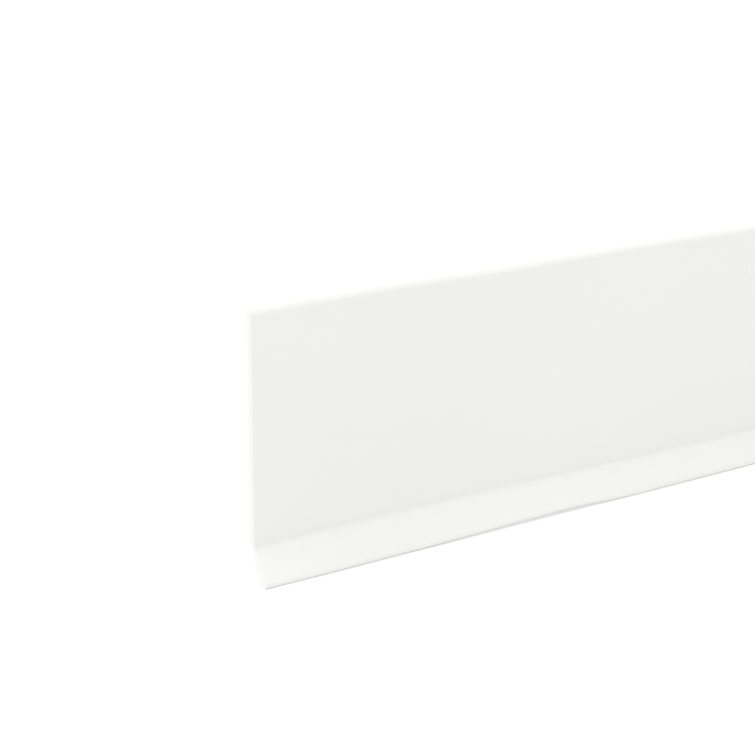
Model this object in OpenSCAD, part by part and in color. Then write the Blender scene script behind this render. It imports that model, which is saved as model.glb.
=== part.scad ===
// Self-adhesive door sweep: a semi-rigid band with a soft, kicked-out sealing lip.
// The strip lies along X, its show face looks to -Y, and the door is on the +Y side.
// The profile is drawn in a plane whose axes are depth (0 on the show face, growing
// towards the door) and height (0 at the foot of the lip), then swept along X.

/* [Strip] */
// Length of the strip
strip_length = 1000; // [100:10:2000]
// Height from the foot of the lip to the top edge
strip_height = 50; // [46:0.5:80]
// Thickness of the band
band_t = 1.2; // [1.1:0.1:2.5]
// Radius of the band's rounded upper front edge
top_edge_r = 1; // [0.3:0.1:1]

/* [Lip] */
// Height of the crease line above the foot of the lip
lip_drop = 6.2; // [5:0.1:8]
// Distance from the show face out to the nose of the lip
lip_reach = 3.65; // [2.5:0.05:4]
// Height of the blunt, upright nose
nose_height = 0.9; // [0.4:0.1:1.5]
// Thickness of the blade where it leaves the web
blade_root_t = 1.1; // [0.9:0.05:1.2]
// Thickness of the blade at the nose
blade_tip_t = 1.0; // [0.8:0.05:1.2]
// Thickness of the web that flexes
web_t = 0.9; // [0.6:0.05:1]
// Radius of the crease on the show side
crease_r = 2.4; // [1.2:0.1:3]
// Height of the soft root that runs up behind the band's lower edge
root_height = 3; // [1:0.1:5]
// Thickness of that root
root_t = 0.6; // [0.3:0.05:0.9]

/* [Mounting tape] */
// Width of each tape
tape_w = 12; // [8:0.5:12]
// Height of the upper tape's centre above the foot of the lip
upper_tape_z = 41; // [39:0.5:41]
// Height of the lower tape's centre above the foot of the lip
lower_tape_z = 20; // [19.5:0.5:23]
// Distance that tapes and liners stop short of each end of the strip
tape_setback = 1.5; // [0.5:0.1:5]
// Thickness of the foam carrier
foam_t = 0.7; // [0.3:0.05:1.5]
// Thickness of each film of adhesive
adhesive_t = 0.05; // [0.03:0.01:0.1]
// Thickness of the release liner
liner_t = 0.1; // [0.05:0.01:0.2]
// Overhang of the liner past each edge of its tape
liner_overhang = 1; // [0:0.25:1.5]

/* [Hidden] */
$fn = 64;

// Slope of the blade, away from upright, and the heights where the bend begins and ends
lip_angle = atan(lip_reach / (lip_drop - nose_height));
bend_top_z = lip_drop + crease_r * tan(lip_angle / 2);
bend_centre = [-crease_r, bend_top_z];
root_top_z = bend_top_z + root_height;
root_near = band_t - root_t;

// Depths of the layers behind the show face
foam_near = band_t + adhesive_t;
foam_far = foam_near + foam_t;
door_plane = foam_far + adhesive_t;
back_plane = door_plane + liner_t;

// Corners of the blade: where the web ends, the nose and the flat foot
blade_down = [-sin(lip_angle), -cos(lip_angle)];
blade_back = [cos(lip_angle), -sin(lip_angle)];
blade_front_top = bend_centre + crease_r * blade_back;
blade_back_top = blade_front_top + blade_root_t * blade_back;
nose_top = [-lip_reach, nose_height];
nose_back = nose_top + blade_tip_t * blade_back;
foot_back = nose_back + nose_back[1] / cos(lip_angle) * blade_down;

// Overrun of a cutting shape past the edge it cuts, and a length past any bend
spare = 1;
wedge_reach = 10;

// Sweeps a profile of depth and height along the strip, with the row's origin
// at mid-length on the upper liner's outer face
module along_strip(setback = 0) {
    translate([setback - strip_length / 2, -back_plane, -upper_tape_z])
        rotate([90, 0, 90])
            linear_extrude(strip_length - 2 * setback)
                children();
}

// Rectangle between two depths and two heights
module layer(near, far, low, high) {
    translate([near, low])
        square([far - near, high - low]);
}

// Sharp corner that the rounded upper front edge takes away
module square_corner() {
    centre_z = strip_height - top_edge_r;
    difference() {
        layer(-spare, top_edge_r, centre_z, strip_height + spare);
        translate([top_edge_r, centre_z])
            circle(top_edge_r);
    }
}

// Semi-rigid band, rebated behind its lower edge for the soft root
module face_band() {
    color("#efefeb")
        along_strip()
            difference() {
                layer(0, band_t, bend_top_z, strip_height);
                layer(root_near, band_t + spare, bend_top_z - spare, root_top_z);
                square_corner();
            }
}

// Soft foot of the lip, fused into the band's rebate
module lip_root() {
    color("#f3f3ef")
        along_strip()
            layer(root_near, band_t, bend_top_z, root_top_z);
}

// Thin bend that flexes: a ring cut to the angle between root and blade
module hinge_web() {
    color("#f3f3ef")
        along_strip()
            intersection() {
                translate(bend_centre)
                    difference() {
                        circle(crease_r + web_t);
                        circle(crease_r);
                    }
                polygon([
                    bend_centre,
                    bend_centre + wedge_reach * [1, 0],
                    bend_centre + wedge_reach * [1, -sin(lip_angle)],
                    bend_centre + wedge_reach * blade_back
                ]);
            }
}

// Soft blade with a blunt upright nose and a flat foot
module sealing_lip() {
    color("#f7f7f4")
        along_strip()
            polygon([
                blade_front_top, nose_top, [-lip_reach, 0],
                foot_back, blade_back_top
            ]);
}

// Adhesive film between the band and the foam
module band_adhesive(centre_z) {
    color("#ced3cc")
        along_strip(tape_setback)
            layer(band_t, foam_near, centre_z - tape_w / 2, centre_z + tape_w / 2);
}

// Foam carrier of a tape
module foam(centre_z) {
    color("#e9e9e6")
        along_strip(tape_setback)
            layer(foam_near, foam_far, centre_z - tape_w / 2, centre_z + tape_w / 2);
}

// Adhesive film that grips the door
module door_adhesive(centre_z) {
    color("#ced3cc")
        along_strip(tape_setback)
            layer(foam_far, door_plane, centre_z - tape_w / 2, centre_z + tape_w / 2);
}

// Release liner, peeled off before mounting
module liner(centre_z) {
    half = tape_w / 2 + liner_overhang;
    color("#e8d9b3")
        along_strip(tape_setback)
            layer(door_plane, back_plane, centre_z - half, centre_z + half);
}

module upper_band_adhesive() { band_adhesive(upper_tape_z); }
module upper_foam() { foam(upper_tape_z); }
module upper_door_adhesive() { door_adhesive(upper_tape_z); }
module upper_liner() { liner(upper_tape_z); }
module lower_band_adhesive() { band_adhesive(lower_tape_z); }
module lower_foam() { foam(lower_tape_z); }
module lower_door_adhesive() { door_adhesive(lower_tape_z); }
module lower_liner() { liner(lower_tape_z); }

face_band();
lip_root();
hinge_web();
sealing_lip();
upper_band_adhesive();
upper_foam();
upper_door_adhesive();
upper_liner();
lower_band_adhesive();
lower_foam();
lower_door_adhesive();
lower_liner();
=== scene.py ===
"""The looks of a self-adhesive door sweep: a white plastic band with a soft, kicked-out lip.

The strip lies along X. Its show face looks to -Y, the tapes on its back to +Y, and +Z is up.
Everything is in metres, in the frame of the CAD model. A profile is a closed outline of points
in the plane of Y and Z: a point's x is its depth, along Y, and its y is its height, along Z.
It is swept along X in short steps, so that it can follow the slight waves of an extrusion.
"""
import math

import bmesh
import bpy
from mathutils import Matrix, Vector


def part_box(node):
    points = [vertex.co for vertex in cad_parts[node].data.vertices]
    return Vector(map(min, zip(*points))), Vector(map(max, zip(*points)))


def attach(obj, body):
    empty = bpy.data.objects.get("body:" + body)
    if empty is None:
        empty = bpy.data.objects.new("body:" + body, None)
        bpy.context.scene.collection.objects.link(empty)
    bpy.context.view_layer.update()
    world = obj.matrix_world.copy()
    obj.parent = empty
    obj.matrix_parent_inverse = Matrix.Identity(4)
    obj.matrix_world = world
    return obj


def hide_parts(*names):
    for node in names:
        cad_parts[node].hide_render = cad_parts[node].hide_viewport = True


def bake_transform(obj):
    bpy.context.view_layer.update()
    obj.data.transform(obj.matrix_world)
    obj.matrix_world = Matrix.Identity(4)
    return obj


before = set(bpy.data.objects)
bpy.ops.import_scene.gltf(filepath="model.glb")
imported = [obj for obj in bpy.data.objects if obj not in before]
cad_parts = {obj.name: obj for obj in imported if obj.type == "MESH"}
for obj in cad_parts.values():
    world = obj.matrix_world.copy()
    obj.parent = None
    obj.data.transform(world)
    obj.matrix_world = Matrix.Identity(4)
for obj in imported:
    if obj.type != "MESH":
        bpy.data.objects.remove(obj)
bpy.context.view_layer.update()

MM = 0.001


# --- Sizes taken from the frame -------------------------------------------------------------

band_low, band_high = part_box("face_band")
root_low, root_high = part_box("lip_root")
blade_low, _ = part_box("sealing_lip")

LEFT, RIGHT = band_low.x, band_high.x
SHOW_FACE, BACK_FACE = band_low.y, band_high.y
TOP = band_high.z
FLOOR = blade_low.z
NOSE = blade_low.y
BEND_TOP = root_low.z
ROOT_TOP = root_high.z
ROOT_NEAR = root_low.y

# Sizes of the profile that a box can't give, the same as in the CAD model
CREASE_HEIGHT = 6.2 * MM
NOSE_HEIGHT = 0.9 * MM
BLADE_ROOT = 1.1 * MM
BLADE_TIP = 1.0 * MM
WEB = 0.9 * MM
CREASE_RADIUS = 2.4 * MM
TOP_EDGE_RADIUS = 1.0 * MM

# Radii of edges that are only softened here
BACK_EDGE_RADIUS = 0.2 * MM
HEEL_RADIUS = 0.2 * MM
TOE_RADIUS = 0.48 * MM
NOSE_RADIUS = 1.2 * MM
FILM_RADIUS = 0.01 * MM
FOAM_RADIUS = 0.08 * MM
LINER_RADIUS = 0.02 * MM
END_CHAMFER = 0.06 * MM

# Steps of the meshes: round an arc, round the bend, along an outline and along the strip
FINE_TURN = math.radians(8)
COARSE_TURN = math.radians(30)
BEND_STEPS = 16
BAND_GAP = 1.2 * MM
LIP_GAP = 0.35 * MM
FILM_GAP = 1.0 * MM
PVC_STEP = 2.5 * MM
FILM_STEP = 4 * MM

# How near the seam counts as on it, and how near two points count as one
SEAM_REACH = 0.001 * MM
SAME_PLACE = 0.0001 * MM
# The smallest turn of an outline that is rounded, and of the mesh that is shaded as an edge
LEAST_TURN = 0.01
SHARP_TURN = math.radians(35)

LIP_ANGLE = math.atan2(SHOW_FACE - NOSE, CREASE_HEIGHT - NOSE_HEIGHT)
BEND_CENTRE = Vector((SHOW_FACE - CREASE_RADIUS, BEND_TOP))


# --- Outlines -------------------------------------------------------------------------------

def rounded(corners, step):
    """An outline from corners of (depth, height, radius), rounded in turns of at most step."""
    points = []
    for i, (depth, height, radius) in enumerate(corners):
        corner = Vector((depth, height))
        before = (Vector(corners[i - 1][:2]) - corner).normalized()
        after = (Vector(corners[(i + 1) % len(corners)][:2]) - corner).normalized()
        turn = math.pi - before.angle(after)
        if radius <= 0 or turn < LEAST_TURN:
            points.append(corner)
            continue
        tangent = radius * math.tan(turn / 2)
        centre = corner + (before + after).normalized() * math.hypot(tangent, radius)
        start = corner + before * tangent - centre
        side = 1 if before.x * after.y - before.y * after.x < 0 else -1
        count = max(2, math.ceil(turn / step))
        for k in range(count + 1):
            a = side * turn * k / count
            points.append(centre + Vector((start.x * math.cos(a) - start.y * math.sin(a),
                                           start.x * math.sin(a) + start.y * math.cos(a))))
    return points


def spaced(points, gap):
    """The same closed outline with points no further apart than gap, and none at one place."""
    out = []
    for i, a in enumerate(points):
        b = points[(i + 1) % len(points)]
        length = (b - a).length
        count = math.ceil(length / gap) if length > SAME_PLACE else 0
        out += [a.lerp(b, k / count) for k in range(count)]
    return out


def anticlockwise(points):
    """The same outline, running anticlockwise when depth grows to the right."""
    area = sum(a.x * b.y - b.x * a.y for a, b in zip(points, points[1:] + points[:1]))
    return points if area > 0 else points[::-1]


def on_seam(p):
    """True where band and lip are fused: down behind the band's lower edge and out under it."""
    on_top = abs(p.y - ROOT_TOP) < SEAM_REACH and p.x > ROOT_NEAR - SEAM_REACH
    on_side = abs(p.x - ROOT_NEAR) < SEAM_REACH and BEND_TOP < p.y < ROOT_TOP
    on_edge = abs(p.y - BEND_TOP) < SEAM_REACH and p.x < ROOT_NEAR + SEAM_REACH
    return on_top or on_side or on_edge


def inset(points, distance):
    """The outline with every point moved inwards by distance, but for those on the fused seam."""
    out = []
    for i, p in enumerate(points):
        if on_seam(p):
            out.append(Vector((max(SHOW_FACE + distance, min(BACK_FACE - distance, p.x)), p.y)))
            continue
        before = (p - points[i - 1]).normalized()
        after = (points[(i + 1) % len(points)] - p).normalized()
        along = (before + after).normalized()
        out.append(p + Vector((-along.y, along.x)) * distance)
    return out


# --- Waves ----------------------------------------------------------------------------------

# How far apart the sine waves of a wave start, in turns for a seed of 1
PHASE_STEP = 0.37


def wave(x, lengths, seed):
    """A smooth value that wanders between -1 and 1: the mean of sine waves of these lengths."""
    total = sum(math.sin(2 * math.pi * (x / length + PHASE_STEP * (i + 1) * seed))
                for i, length in enumerate(lengths))
    return total / len(lengths)


SWELL_LENGTH = 66 * MM
SWELL_SHARE = 0.8
FIRST_CREST = LEFT + 28 * MM


def swell(x):
    """The slow wave left in a strip that was coiled: mostly one length, from about -1 to 1."""
    regular = math.cos(2 * math.pi * (x - FIRST_CREST) / SWELL_LENGTH)
    return SWELL_SHARE * regular + (1 - SWELL_SHARE) * wave(x, (41 * MM, 147 * MM), 1.7)


SINK_DEPTH = 0.01 * MM
SINK_WIDTH = 0.7 * MM


def sink(z):
    """The shallow valley in the show face where band and lip were fused."""
    away = (z - BEND_TOP) / SINK_WIDTH
    return SINK_DEPTH * math.exp(-away * away)


FACE_BOW = 0.06 * MM


def face_shift(x, y, z):
    """How far the show face strays in or out. The back stays flat, under the tapes."""
    height = max(0.0, (z - BEND_TOP) / (TOP - BEND_TOP))
    bow = FACE_BOW * wave(x, (210 * MM, 83 * MM), 2.3) * 4 * height * (1 - height)
    near_face = max(0.0, min(1.0, (BACK_FACE - y) / (BACK_FACE - SHOW_FACE)))
    return (bow + sink(z)) * near_face


CREASE_WAVE = 0.4 * MM
CREASE_WAVE_LENGTH = 170 * MM
FIRST_HIGH_CREASE = LEFT + 35 * MM


def crease_rise(x, z):
    """How far the crease strays up or down, and with it what lies just above and below it."""
    near = max(0.0, min(1.0, (z - FLOOR) / (2 * (BEND_TOP - FLOOR))))
    rise = CREASE_WAVE * math.cos(2 * math.pi * (x - FIRST_HIGH_CREASE) / CREASE_WAVE_LENGTH)
    return rise * math.sin(math.pi * near) ** 2


TOP_WAVE = 0.17 * MM


def band_warp(x, y, z):
    """How far a point of the band strays: its top edge waves and its face bows, very slightly."""
    height = max(0.0, (z - BEND_TOP) / (TOP - BEND_TOP))
    # A high power keeps the wave of the top edge out of the rest of the band
    rise = TOP_WAVE * swell(x) * height ** 6
    return Vector((0, face_shift(x, y, z), crease_rise(x, z) + rise))


LIFT_LENGTH = 104 * MM
FIRST_LIFT = LEFT + 29 * MM
RISING, FALLING = 45 * MM, 12 * MM
MOST_LIFT = 0.6 * MM


def lift(x):
    """How far the foot is off the floor: it rests, rises slowly and drops back, over and over."""
    past = (x - FIRST_LIFT) % LIFT_LENGTH
    share = min(past / RISING, max(0.0, 1 - (past - RISING) / FALLING))
    return MOST_LIFT * share ** 2 * (3 - 2 * share)


LIP_RIPPLE = 0.10 * MM


def lip_warp(x, y, z):
    """How far a point of the soft lip strays: its free edge ripples and lifts a little."""
    free = max(0.0, min(1.0, (BEND_TOP - z) / (BEND_TOP - FLOOR)))
    ripple = LIP_RIPPLE * wave(x, (43 * MM, 74 * MM, 26 * MM), 3.1)
    return Vector((0, face_shift(x, y, z) + ripple * free ** 2,
                   crease_rise(x, z) + lift(x) * free ** 3))


# --- Meshes ---------------------------------------------------------------------------------

def stations(left, right, step):
    """Places about a step apart between two ends, with a chamfer's width at each of them."""
    inner_left, inner_right = left + END_CHAMFER, right - END_CHAMFER
    count = max(1, round((inner_right - inner_left) / step))
    inner = [inner_left + (inner_right - inner_left) * i / count for i in range(count + 1)]
    return [left] + inner + [right]


def prism_faces(sides, lengths):
    """The faces of a prism of so many sides and lengths: the sides, then its two end faces."""
    faces = []
    for i in range(lengths):
        for k in range(sides):
            a, b = i * sides + k, i * sides + (k + 1) % sides
            faces.append((a, b, b + sides, a + sides))
    faces.append(tuple(reversed(range(sides))))
    faces.append(tuple(range(lengths * sides, (lengths + 1) * sides)))
    return faces


def split_ends(mesh):
    """Splits the two many-sided end faces into triangles."""
    bm = bmesh.new()
    bm.from_mesh(mesh)
    caps = [face for face in bm.faces if len(face.verts) > 4]
    bmesh.ops.triangulate(bm, faces=caps, quad_method="BEAUTY", ngon_method="BEAUTY")
    bm.to_mesh(mesh)
    bm.free()


def sweep(name, outline, span, step, warp, body_material, end_material, chamfer=END_CHAMFER):
    """A closed prism of the outline along a span of X, with lightly chamfered, cut ends."""
    outline = anticlockwise(outline)
    small = inset(outline, chamfer)
    places = stations(*span, step)
    verts = []
    for i, x in enumerate(places):
        ring = small if i in (0, len(places) - 1) else outline
        verts += [Vector((x, p.x, p.y)) + warp(x, p.x, p.y) for p in ring]
    sides, lengths = len(outline), len(places) - 1
    mesh = bpy.data.meshes.new(name)
    mesh.from_pydata(verts, [], prism_faces(sides, lengths))
    mesh.materials.append(body_material)
    mesh.materials.append(end_material)
    # The end faces come last, and the first and last lengths are the chamfers
    for f in mesh.polygons:
        f.material_index = 0 if 0 < f.index // sides < lengths - 1 else 1
        f.use_smooth = True
    mesh.validate()
    piece = bpy.data.objects.new(name, mesh)
    bpy.context.scene.collection.objects.link(piece)
    split_ends(mesh)
    mesh.set_sharp_from_angle(angle=SHARP_TURN)
    return piece


# --- Materials ------------------------------------------------------------------------------

# Noise seldom leaves this range
NOISE_LOW, NOISE_HIGH = 0.3, 0.7

# Depths of the bumps that are too fine for the mesh
DIE_LINES = 0.012 * MM
ORANGE_PEEL = 0.006 * MM
BLADE_MARKS = 0.015 * MM
CUT_CELLS = 0.04 * MM
GLUE_RIPPLE = 0.03 * MM
PAPER_FIBRES = 0.01 * MM
PAPER_COCKLE = 0.04 * MM


def new_material(name):
    """A new material, its node tree and its shader."""
    material = bpy.data.materials.new(name)
    material.use_nodes = True
    tree = material.node_tree
    return material, tree, tree.nodes["Principled BSDF"]


def stretched_noise(tree, scale, detail=3.0, roughness=0.5):
    """Noise whose grain is 1/scale metres long along each axis of the CAD model's frame."""
    coords = tree.nodes.new("ShaderNodeTexCoord")
    mapping = tree.nodes.new("ShaderNodeMapping")
    mapping.inputs["Scale"].default_value = scale
    texture = tree.nodes.new("ShaderNodeTexNoise")
    texture.inputs["Scale"].default_value = 1.0
    texture.inputs["Detail"].default_value = detail
    texture.inputs["Roughness"].default_value = roughness
    tree.links.new(coords.outputs["Object"], mapping.inputs["Vector"])
    tree.links.new(mapping.outputs["Vector"], texture.inputs["Vector"])
    return texture.outputs["Fac"]


def ramp(tree, value, low, high):
    """A colour that runs from low to high as value goes through the range of the noise."""
    node = tree.nodes.new("ShaderNodeValToRGB")
    first, last = node.color_ramp.elements
    first.position, last.position = NOISE_LOW, NOISE_HIGH
    first.color = (*low, 1)
    last.color = (*high, 1)
    tree.links.new(value, node.inputs["Fac"])
    return node.outputs["Color"]


def spread(tree, value, low, high):
    """A number that runs from low to high as value goes through the range of the noise."""
    node = tree.nodes.new("ShaderNodeMapRange")
    node.inputs["From Min"].default_value = NOISE_LOW
    node.inputs["From Max"].default_value = NOISE_HIGH
    node.inputs["To Min"].default_value = low
    node.inputs["To Max"].default_value = high
    tree.links.new(value, node.inputs["Value"])
    return node.outputs["Result"]


def add_bump(tree, shader, layers):
    """Bumps the surface with layers of (height, depth in metres), one on top of the other."""
    normal = None
    for height, depth in layers:
        bump = tree.nodes.new("ShaderNodeBump")
        bump.inputs["Strength"].default_value = 1.0
        bump.inputs["Distance"].default_value = depth
        tree.links.new(height, bump.inputs["Height"])
        if normal is not None:
            tree.links.new(normal, bump.inputs["Normal"])
        normal = bump.outputs["Normal"]
    tree.links.new(normal, shader.inputs["Normal"])


def tinted(colour, factor):
    """The colour made darker, or lighter, by a factor."""
    return tuple(c * factor for c in colour)


def extruded_pvc(name, colour, roughness, softness):
    """Extruded PVC: long, faint die lines, a fine orange peel and a satin sheen."""
    material, tree, shader = new_material(name)
    lines = stretched_noise(tree, (6, 900, 900), detail=4)
    peel = stretched_noise(tree, (700, 900, 900), detail=2)
    clouds = stretched_noise(tree, (18, 40, 40), detail=3)
    shade = ramp(tree, clouds, tinted(colour, 0.992), tinted(colour, 1.006))
    tree.links.new(shade, shader.inputs["Base Color"])
    sheen = spread(tree, lines, roughness - 0.04, roughness + 0.05)
    tree.links.new(sheen, shader.inputs["Roughness"])
    add_bump(tree, shader, [(lines, DIE_LINES), (peel, ORANGE_PEEL)])
    shader.inputs["IOR"].default_value = 1.5
    shader.inputs["Subsurface Weight"].default_value = softness
    shader.inputs["Subsurface Radius"].default_value = (1.0, 0.95, 0.85)
    shader.inputs["Subsurface Scale"].default_value = 0.8 * MM
    return material


def cut_pvc(name, colour):
    """The cut end of a strip: more matt, with the upright marks of the blade, and lighter than
    the face: partly the paler look of a cut, partly painted light for the end that faces the key
    light.
    """
    material, tree, shader = new_material(name)
    marks = stretched_noise(tree, (200, 9000, 350), detail=4)
    # Lighter than the face: partly a cut's paler look, partly painted light on an end that faces
    # the key light
    shade = ramp(tree, marks, tinted(colour, 1.02), tinted(colour, 1.06))
    tree.links.new(shade, shader.inputs["Base Color"])
    tree.links.new(spread(tree, marks, 0.55, 0.75), shader.inputs["Roughness"])
    add_bump(tree, shader, [(marks, BLADE_MARKS)])
    return material


def cell_foam(name, colour):
    """Closed-cell foam: a dull surface of small hollow cells, with painted shade in their
    hollows.
    """
    material, tree, shader = new_material(name)
    coords = tree.nodes.new("ShaderNodeTexCoord")
    cells = tree.nodes.new("ShaderNodeTexVoronoi")
    cells.inputs["Scale"].default_value = 7000
    tree.links.new(coords.outputs["Object"], cells.inputs["Vector"])
    # The hollow middles of the cells are painted darker: painted shade, as in a recess
    shade = ramp(tree, cells.outputs["Distance"], tinted(colour, 0.88), colour)
    tree.links.new(shade, shader.inputs["Base Color"])
    shader.inputs["Roughness"].default_value = 0.9
    add_bump(tree, shader, [(cells.outputs["Distance"], CUT_CELLS)])
    return material


def tacky_film(name, colour):
    """A film of adhesive: wet-looking, clouded and faintly rippled."""
    material, tree, shader = new_material(name)
    ripple = stretched_noise(tree, (300, 400, 400), detail=3)
    clouds = stretched_noise(tree, (60, 200, 200), detail=3)
    tree.links.new(ramp(tree, clouds, tinted(colour, 0.94), colour), shader.inputs["Base Color"])
    tree.links.new(spread(tree, ripple, 0.08, 0.2), shader.inputs["Roughness"])
    add_bump(tree, shader, [(ripple, GLUE_RIPPLE)])
    shader.inputs["Coat Weight"].default_value = 0.5
    return material


def glassine(name, colour):
    """Siliconised release paper: cloudy fibres under a low, even sheen."""
    material, tree, shader = new_material(name)
    fibres = stretched_noise(tree, (1000, 1300, 1300), detail=5, roughness=0.65)
    clouds = stretched_noise(tree, (110, 140, 140), detail=4)
    mixed = tree.nodes.new("ShaderNodeMix")
    mixed.data_type = "FLOAT"
    mixed.inputs["Factor"].default_value = 0.45
    tree.links.new(fibres, mixed.inputs["A"])
    tree.links.new(clouds, mixed.inputs["B"])
    shade = ramp(tree, mixed.outputs["Result"], tinted(colour, 0.93), tinted(colour, 1.03))
    tree.links.new(shade, shader.inputs["Base Color"])
    tree.links.new(spread(tree, fibres, 0.32, 0.5), shader.inputs["Roughness"])
    add_bump(tree, shader, [(fibres, PAPER_FIBRES), (clouds, PAPER_COCKLE)])
    return material


BAND_WHITE = (0.781, 0.787, 0.751)
LIP_WHITE = (0.790, 0.790, 0.782)
FOAM_WHITE = (0.78, 0.78, 0.75)
ADHESIVE_GREY = (0.62, 0.65, 0.60)
LINER_HONEY = (0.80, 0.69, 0.44)

band_face = extruded_pvc("band_pvc", BAND_WHITE, 0.42, 0.05)
band_cut = cut_pvc("band_pvc_cut", BAND_WHITE)
lip_face = extruded_pvc("lip_pvc", LIP_WHITE, 0.5, 0.2)
lip_cut = cut_pvc("lip_pvc_cut", LIP_WHITE)
foam_material = cell_foam("tape_foam", FOAM_WHITE)
adhesive_material = tacky_film("tape_adhesive", ADHESIVE_GREY)
liner_material = glassine("liner_glassine", LINER_HONEY)


# --- The band -------------------------------------------------------------------------------

def make_band():
    """The stiff band, with a rebate behind its lower edge for the root of the lip."""
    corners = [
        (SHOW_FACE, BEND_TOP, 0),
        (SHOW_FACE, BEND_TOP + 3 * SINK_WIDTH, 0),
        (SHOW_FACE, TOP, TOP_EDGE_RADIUS),
        (BACK_FACE, TOP, BACK_EDGE_RADIUS),
        (BACK_FACE, ROOT_TOP, 0),
        (ROOT_NEAR, ROOT_TOP, 0),
        (ROOT_NEAR, BEND_TOP, 0),
    ]
    outline = spaced(rounded(corners, FINE_TURN), BAND_GAP)
    piece = sweep("band", outline, (LEFT, RIGHT), PVC_STEP, band_warp, band_face, band_cut)
    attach(piece, "band")
    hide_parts("face_band")


# --- The soft lip ---------------------------------------------------------------------------


def bend_point(share, radius):
    """A point of the bend, share of the way round it from the root to the blade."""
    angle = LIP_ANGLE * share
    return BEND_CENTRE + radius * Vector((math.cos(angle), -math.sin(angle)))


def web_thickness(share):
    """The wall's thickness round the bend: it thins to the web's in the middle."""
    end = (BACK_FACE - SHOW_FACE) * (1 - share) + BLADE_ROOT * share
    return end + (WEB - end) * math.sin(math.pi * share) ** 2


def make_lip():
    """The lip in one piece: its root, the web and the blade, which bends at the web."""
    down = Vector((-math.sin(LIP_ANGLE), -math.cos(LIP_ANGLE)))
    back = Vector((math.cos(LIP_ANGLE), -math.sin(LIP_ANGLE)))
    nose_top = Vector((NOSE, FLOOR + NOSE_HEIGHT))
    nose_back = nose_top + BLADE_TIP * back
    foot_back = nose_back + (nose_back.y - FLOOR) / math.cos(LIP_ANGLE) * down
    shares = [i / BEND_STEPS for i in range(BEND_STEPS + 1)]
    groove = [bend_point(share, CREASE_RADIUS + web_thickness(share)) for share in shares]
    crease = [bend_point(share, CREASE_RADIUS) for share in reversed(shares)]
    corners = [
        (ROOT_NEAR, BEND_TOP, 0),
        (ROOT_NEAR, ROOT_TOP, 0),
        (BACK_FACE, ROOT_TOP, 0),
        *[(*point, 0) for point in groove],
        (*foot_back, HEEL_RADIUS),
        (NOSE, FLOOR, TOE_RADIUS),
        (*nose_top, NOSE_RADIUS),
        *[(*point, 0) for point in crease],
    ]
    outline = spaced(rounded(corners, FINE_TURN), LIP_GAP)
    piece = sweep("soft_lip", outline, (LEFT, RIGHT), PVC_STEP, lip_warp, lip_face, lip_cut)
    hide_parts("lip_root", "hinge_web", "sealing_lip")
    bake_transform(piece)


# --- The tapes ------------------------------------------------------------------------------

SLIT_WANDER = 0.05 * MM


def make_film(tape, layer, body, material, radius):
    """One thin layer of a tape, which fills its CAD solid but for softened edges."""
    node = tape + "_" + layer
    low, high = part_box(node)
    corners = [(low.y, low.z, radius), (low.y, high.z, radius),
               (high.y, high.z, radius), (high.y, low.z, radius)]
    outline = spaced(rounded(corners, COARSE_TURN), FILM_GAP)
    middle = (low.z + high.z) / 2
    half = (high.z - low.z) / 2
    seed = 5.3 + len(layer)

    def wander(x, y, z):
        """The slit edges wander inwards by a few hundredths of a millimetre."""
        side = (z - middle) / half
        shy = SLIT_WANDER * (wave(x, (13 * MM, 31 * MM), seed) - 1)
        return Vector((0, 0, side * abs(side) ** 3 * shy))

    chamfer = min(END_CHAMFER, (high.y - low.y) / 4)
    piece = sweep(node + "_piece", outline, (low.x, high.x), FILM_STEP, wander,
                  material, material, chamfer)
    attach(piece, body)
    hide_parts(node)
    return piece


def make_tape(tape):
    """The four layers of a tape, from the band outwards. Its liner is a body of its own."""
    liner_body = tape + "_release_liner"
    make_film(tape, "band_adhesive", "band", adhesive_material, FILM_RADIUS)
    foam = make_film(tape, "foam", "band", foam_material, FOAM_RADIUS)
    make_film(tape, "door_adhesive", "band", adhesive_material, FILM_RADIUS)
    make_film(tape, "liner", liner_body, liner_material, LINER_RADIUS)


make_band()
make_lip()
make_tape("upper")
make_tape("lower")


# --- Floor, light and camera ----------------------------------------------------------------

FLOOR_HALF = 20
FLOOR_DARK = (0.79, 0.79, 0.79)
FLOOR_LIGHT = (0.81, 0.81, 0.81)
FLOOR_GLOW = 0.13

SKY_STRENGTH = 1.0
KEY_STRENGTH = 0.85
KEY_SPREAD = math.radians(50)
TOWARDS_KEY = Vector((-0.41, -0.12, 0.90))

# The camera's place, from the left end of the show face at the floor's height
CAMERA_LEFT = 0.2152
CAMERA_OUT = 0.314
CAMERA_UP = 0.1378
# How far it is turned down, and to the right of straight at the show face
CAMERA_DOWN = math.radians(14.705)
CAMERA_RIGHT = math.radians(37.723)
CLIP_NEAR, CLIP_FAR = 0.01, 60
# In millimetres
SENSOR_WIDTH = 36
FOCAL_LENGTH = 107.9


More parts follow.
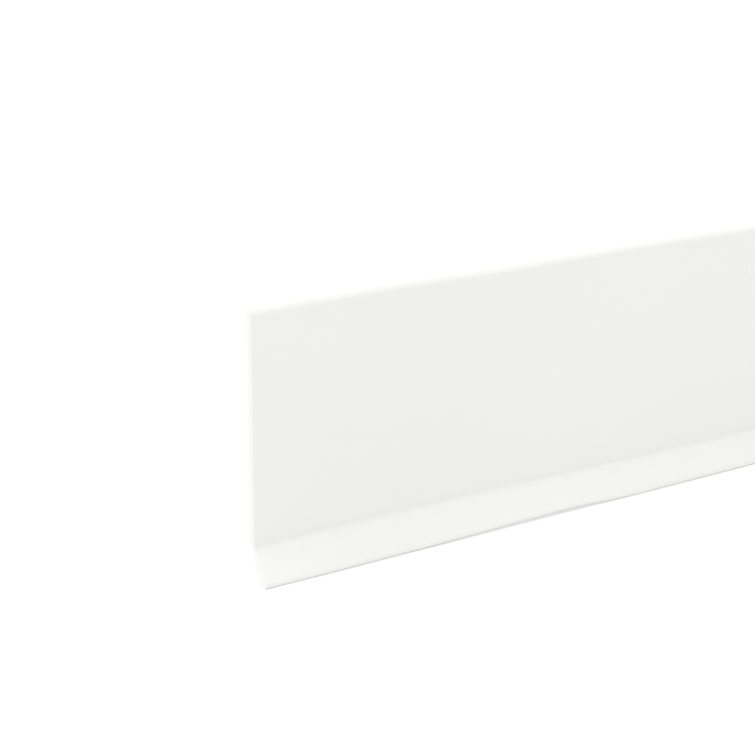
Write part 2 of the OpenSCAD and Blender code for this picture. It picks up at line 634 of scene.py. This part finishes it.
def make_floor():
    """A plain white floor under the foot of the lip. It glows a little, like a lit backdrop."""
    corners = [(-FLOOR_HALF, -FLOOR_HALF), (FLOOR_HALF, -FLOOR_HALF),
               (FLOOR_HALF, FLOOR_HALF), (-FLOOR_HALF, FLOOR_HALF)]
    mesh = bpy.data.meshes.new("floor")
    mesh.from_pydata([(*corner, FLOOR) for corner in corners], [], [(0, 1, 2, 3)])
    material, tree, shader = new_material("floor")
    grain = stretched_noise(tree, (30, 30, 30), detail=3)
    shade = ramp(tree, grain, FLOOR_DARK, FLOOR_LIGHT)
    tree.links.new(shade, shader.inputs["Base Color"])
    shader.inputs["Emission Color"].default_value = (1, 1, 1, 1)
    shader.inputs["Emission Strength"].default_value = FLOOR_GLOW
    shader.inputs["Roughness"].default_value = 1.0
    shader.inputs["Specular IOR Level"].default_value = 0.0
    mesh.materials.append(material)
    floor = bpy.data.objects.new("floor", mesh)
    bpy.context.scene.collection.objects.link(floor)


def make_light():
    """An even white sky, and a soft key light from above, a little to the left and in front."""
    world = bpy.data.worlds.new("studio")
    world.use_nodes = True
    sky = world.node_tree.nodes["Background"]
    sky.inputs["Color"].default_value = (1, 1, 1, 1)
    sky.inputs["Strength"].default_value = SKY_STRENGTH
    bpy.context.scene.world = world
    sun = bpy.data.lights.new("soft_key", "SUN")
    sun.energy = KEY_STRENGTH
    sun.angle = KEY_SPREAD
    key = bpy.data.objects.new("soft_key", sun)
    key.rotation_mode = "QUATERNION"
    key.rotation_quaternion = TOWARDS_KEY.to_track_quat("Z", "Y")
    bpy.context.scene.collection.objects.link(key)


def make_camera():
    """A long lens before the left end, a little above the strip and looking along it."""
    data = bpy.data.cameras.new("camera")
    data.sensor_width = SENSOR_WIDTH
    data.lens = FOCAL_LENGTH
    data.clip_start, data.clip_end = CLIP_NEAR, CLIP_FAR
    camera = bpy.data.objects.new("camera", data)
    camera.location = (LEFT - CAMERA_LEFT, SHOW_FACE - CAMERA_OUT, FLOOR + CAMERA_UP)
    camera.rotation_euler = (math.pi / 2 - CAMERA_DOWN, 0, -CAMERA_RIGHT)
    bpy.context.scene.collection.objects.link(camera)
    bpy.context.scene.camera = camera


make_floor()
make_light()
make_camera()
bpy.context.scene.view_settings.view_transform = "Standard"
